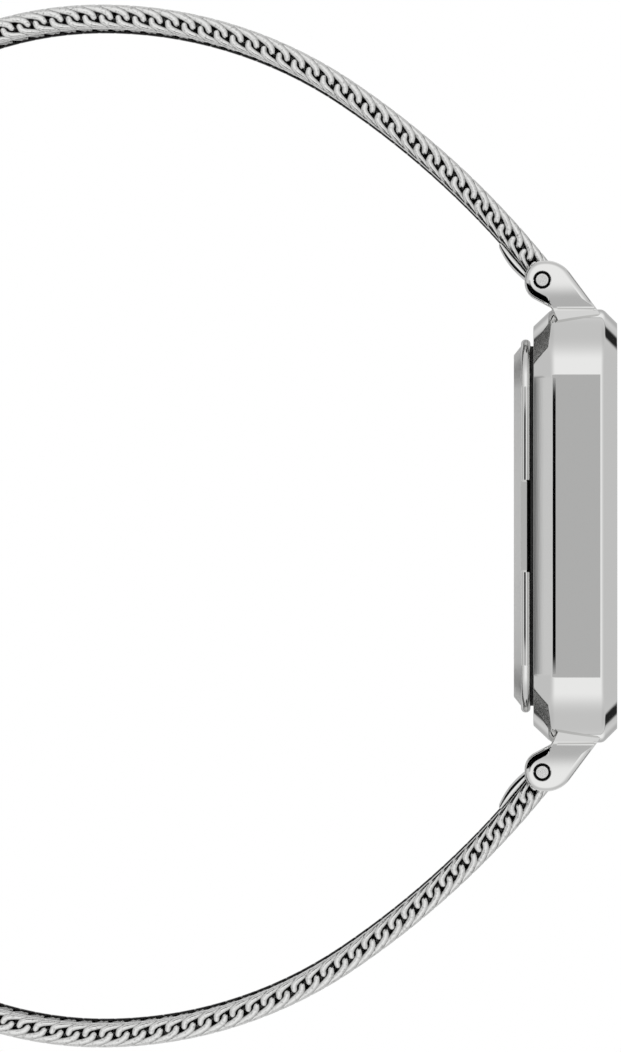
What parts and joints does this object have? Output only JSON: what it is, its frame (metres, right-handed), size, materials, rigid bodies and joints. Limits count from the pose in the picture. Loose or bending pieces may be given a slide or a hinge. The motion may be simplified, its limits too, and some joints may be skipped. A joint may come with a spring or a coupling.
{
  "type": "square wristwatch",
  "caption": "Square wristwatch: polished bevelled case on lugs, flush crystal, hands and crown that turn, and a woven steel mesh bracelet closed by a sliding fold-over clasp.",
  "frame": {"origin": "centre of the case back's outer face", "axes": "+Z out of the dial, +Y to 12 o'clock, +X to the crown at 3 o'clock"},
  "size_m": [0.0281, 0.0626, 0.0526],
  "materials": {
    "polished_steel": "polished stainless steel",
    "woven_steel": "woven from polished stainless steel wire",
    "crystal_glass": "polished",
    "seal_rubber": "moulded",
    "dial_paint": "sunray brushed and lacquered",
    "ring_paint": "satin lacquer",
    "spacer_plastic": "moulded",
    "movement_brass": "plated and turned",
    "board_plastic": "circuit board with solder mask",
    "movement_steel": "stamped"
  },
  "bodies": {
    "case": {"case_frame": "polished_steel", "crystal": "crystal_glass", "crystal_gasket": "seal_rubber", "caseback": "polished_steel", "caseback_gasket": "seal_rubber", "upper_left_lug": "polished_steel", "upper_right_lug": "polished_steel", "lower_left_lug": "polished_steel", "lower_right_lug": "polished_steel", "upper_lug_pin": "polished_steel", "lower_lug_pin": "polished_steel", "rehaut_ring": "ring_paint", "dial_plate": "dial_paint", "hour_markers": "polished_steel", "movement_ring": "spacer_plastic", "main_plate": "movement_brass", "circuit_board": "board_plastic", "module_cover": "movement_steel", "battery": "movement_steel", "battery_clamp": "movement_steel", "crown_tube": "polished_steel"},
    "minute": {"minute_hand": "polished_steel", "cannon_pinion": "movement_brass"},
    "hour": {"hour_hand": "polished_steel", "hour_wheel": "movement_brass"},
    "motion": {"motion_wheel": "movement_brass"},
    "clutch": {"clutch_pinion": "movement_steel"},
    "crown": {"crown": "polished_steel", "winding_stem": "movement_steel", "crown_gasket": "seal_rubber"},
    "upper_1": {"upper_end_link": "polished_steel", "upper_mesh_1": "woven_steel"},
    "upper_2": {"upper_mesh_2": "woven_steel"},
    "upper_3": {"upper_mesh_3": "woven_steel"},
    "upper_4": {"upper_mesh_4": "woven_steel"},
    "upper_5": {"upper_mesh_5": "woven_steel", "upper_tip_tube": "polished_steel", "clasp_spring_bar": "polished_steel"},
    "lower_1": {"lower_end_link": "polished_steel", "lower_mesh_1": "woven_steel"},
    "lower_2": {"lower_mesh_2": "woven_steel"},
    "lower_3": {"lower_mesh_3": "woven_steel"},
    "lower_4": {"lower_mesh_4": "woven_steel"},
    "lower_5": {"lower_mesh_5": "woven_steel"},
    "clasp": {"clasp_channel": "polished_steel", "lock_pin": "polished_steel"},
    "cover": {"clasp_cover": "polished_steel", "cover_hinge_pin": "polished_steel"},
    "lock": {"lock_plate": "polished_steel"}
  },
  "joints": [
    {"name": "minute_turn", "type": "hinge", "parent": "case", "child": "minute", "pos_m": [0, 0, 0], "axis": [0, 0, -1], "continuous": true},
    {"name": "hour_turn", "type": "hinge", "parent": "case", "child": "hour", "pos_m": [0, 0, 0], "axis": [0, 0, -1], "continuous": true},
    {"name": "motion_turn", "type": "hinge", "parent": "case", "child": "motion", "pos_m": [0, -0.0024, 0], "axis": [0, 0, -1], "continuous": true},
    {"name": "crown_turn", "type": "hinge", "parent": "case", "child": "clutch", "pos_m": [0.0071, 0, 0.00305], "axis": [1, 0, 0], "continuous": true},
    {"name": "crown_pull", "type": "slide", "parent": "clutch", "child": "crown", "axis": [1, 0, 0], "range_m": [0, 0.0007]},
    {"name": "upper_swing", "type": "hinge", "parent": "case", "child": "upper_1", "pos_m": [0, 0.01477, 0.0017], "axis": [1, 0, 0], "range_deg": [0, 75]},
    {"name": "upper_flex_1", "type": "hinge", "parent": "upper_1", "child": "upper_2", "pos_m": [0, 0.02463, -0.00801], "axis": [1, 0, 0], "range_deg": [0, 24]},
    {"name": "upper_flex_2", "type": "hinge", "parent": "upper_2", "child": "upper_3", "pos_m": [0, 0.03009, -0.01967], "axis": [1, 0, 0], "range_deg": [0, 24]},
    {"name": "upper_flex_3", "type": "hinge", "parent": "upper_3", "child": "upper_4", "pos_m": [0, 0.02922, -0.03248], "axis": [1, 0, 0], "range_deg": [0, 24]},
    {"name": "upper_flex_4", "type": "hinge", "parent": "upper_4", "child": "upper_5", "pos_m": [0, 0.02119, -0.04242], "axis": [1, 0, 0], "range_deg": [0, 24]},
    {"name": "lower_swing", "type": "hinge", "parent": "case", "child": "lower_1", "pos_m": [0, -0.01477, 0.0017], "axis": [-1, 0, 0], "range_deg": [0, 75]},
    {"name": "lower_flex_1", "type": "hinge", "parent": "lower_1", "child": "lower_2", "pos_m": [0, -0.02636, -0.01046], "axis": [-1, 0, 0], "range_deg": [0, 24]},
    {"name": "lower_flex_2", "type": "hinge", "parent": "lower_2", "child": "lower_3", "pos_m": [0, -0.03058, -0.02564], "axis": [-1, 0, 0], "range_deg": [0, 24]},
    {"name": "lower_flex_3", "type": "hinge", "parent": "lower_3", "child": "lower_4", "pos_m": [0, -0.02397, -0.03967], "axis": [-1, 0, 0], "range_deg": [0, 24]},
    {"name": "lower_flex_4", "type": "hinge", "parent": "lower_4", "child": "lower_5", "pos_m": [0, -0.00888, -0.0436], "axis": [-1, 0, 0], "range_deg": [0, 24]},
    {"name": "clasp_slide", "type": "slide", "parent": "lower_5", "child": "clasp", "axis": [0, -1, 0], "range_m": [0, 0.004]},
    {"name": "cover_open", "type": "hinge", "parent": "clasp", "child": "cover", "pos_m": [0, -0.00418, -0.04535], "axis": [-1, 0, 0], "range_deg": [0, 100]},
    {"name": "lock_flip", "type": "hinge", "parent": "clasp", "child": "lock", "pos_m": [0, -0.00263, -0.04247], "axis": [1, 0, 0], "range_deg": [0, 50]}
  ],
  "couplings": [
    {"joint": "hour_turn", "follows": "minute_turn", "ratio": 0.083333},
    {"joint": "motion_turn", "follows": "minute_turn", "ratio": -0.33333}
  ]
}
